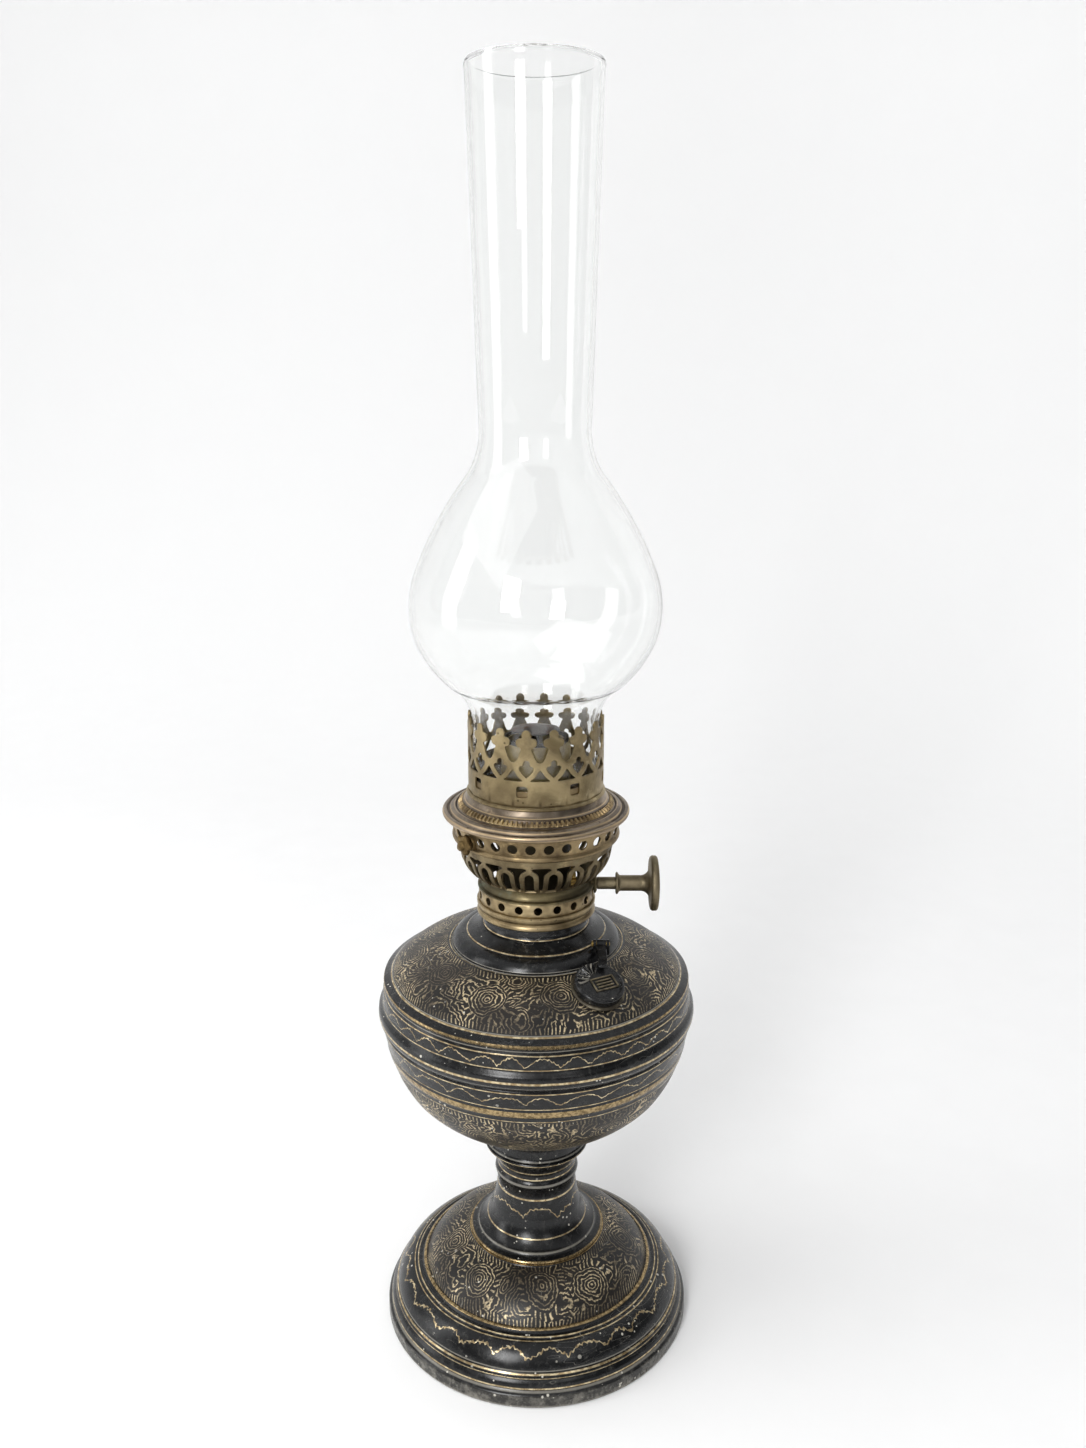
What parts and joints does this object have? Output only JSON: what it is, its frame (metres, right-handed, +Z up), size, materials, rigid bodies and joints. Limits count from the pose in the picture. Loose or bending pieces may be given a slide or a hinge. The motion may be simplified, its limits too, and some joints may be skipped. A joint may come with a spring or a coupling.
{
  "type": "oil lamp",
  "caption": "Table oil lamp with an engraved black foot and font, a round-wick brass burner with a side knob, a lift-off gallery and a tall ball chimney of clear glass.",
  "frame": {"origin": "centre of the foot's lower rim, on the surface it stands on", "axes": "+Z up along the lamp's axis; the wick knob points along +X; the filler cap and the lock screw face -Y"},
  "size_m": [0.1398, 0.1398, 0.5324],
  "materials": {
    "lacquer": "black lacquer over brass, engraved and worn",
    "steel": "dull steel",
    "cork": "cork sheet",
    "pin_brass": "bright brass",
    "burner_brass": "aged brass",
    "wick_cotton": "woven cotton",
    "feed_brass": "dull aged brass",
    "spreader_steel": "heat-darkened metal",
    "gallery_brass": "aged brass",
    "chimney": "clear blown glass"
  },
  "bodies": {
    "lamp_body": {"tie_rod": "steel", "foot_clamp_plate": "steel", "foot_washer": "steel", "foot_nut": "steel", "font_washer": "steel", "font_nut": "steel", "foot_shell": "lacquer", "stem_column": "lacquer", "font_cup": "lacquer", "font_bowl": "lacquer", "font_shoulder": "lacquer", "font_collar": "lacquer", "font_gasket": "cork", "filler_neck": "lacquer", "cap_hinge_ears": "lacquer", "cap_hinge_pin": "pin_brass"},
    "filler_cap": {"filler_cap": "lacquer", "cap_panel": "lacquer", "cap_gasket": "cork", "cap_strap": "lacquer"},
    "burner": {"burner_base_ring": "burner_brass", "vent_collar": "burner_brass", "spindle_bush": "burner_brass", "spindle_bracket": "burner_brass", "burner_basket": "burner_brass", "wick_tube_outer": "burner_brass", "draught_tube": "burner_brass", "air_duct": "burner_brass", "spreader_seat": "burner_brass"},
    "wick_feed": {"wick": "wick_cotton", "wick_carrier": "feed_brass"},
    "spindle": {"wick_spindle": "feed_brass", "wick_pinion": "feed_brass", "wick_knob": "feed_brass"},
    "spreader": {"spreader_disc": "spreader_steel", "spreader_stem": "spreader_steel"},
    "gallery": {"gallery_skirt": "gallery_brass", "lock_boss": "gallery_brass", "gallery_flange": "gallery_brass", "serrated_ring": "gallery_brass", "gallery_crown": "gallery_brass", "chimney_spring": "gallery_brass"},
    "lock_screw": {"lock_screw": "gallery_brass"},
    "chimney": {"chimney_glass": "chimney"}
  },
  "joints": [
    {"name": "filler_cap_hinge", "type": "hinge", "parent": "lamp_body", "child": "filler_cap", "pos_m": [0.0275, -0.0215, 0.1922], "axis": [-1, 0, 0], "range_deg": [0, 62]},
    {"name": "burner_lift", "type": "slide", "parent": "lamp_body", "child": "burner", "axis": [0, 0, 1], "range_m": [0, 0.066]},
    {"name": "wick_slide", "type": "slide", "parent": "burner", "child": "wick_feed", "axis": [0, 0, 1], "range_m": [-0.008, 0.006]},
    {"name": "spindle_turn", "type": "hinge", "parent": "burner", "child": "spindle", "pos_m": [0, 0, 0.2107], "axis": [1, 0, 0], "range_deg": [-114, 85]},
    {"name": "spreader_lift", "type": "slide", "parent": "burner", "child": "spreader", "axis": [0, 0, 1], "range_m": [0, 0.075]},
    {"name": "gallery_lift", "type": "slide", "parent": "burner", "child": "gallery", "axis": [0, 0, 1], "range_m": [0, 0.056]},
    {"name": "lock_screw_turn", "type": "hinge", "parent": "gallery", "child": "lock_screw", "pos_m": [0, 0, 0.2382], "axis": [-0.749, -0.6626, 0], "continuous": true},
    {"name": "chimney_lift", "type": "slide", "parent": "gallery", "child": "chimney", "axis": [0, 0, 1], "range_m": [0, 0.07]}
  ],
  "couplings": [
    {"joint": "wick_slide", "follows": "spindle_turn", "m_per_rad": 0.004}
  ]
}
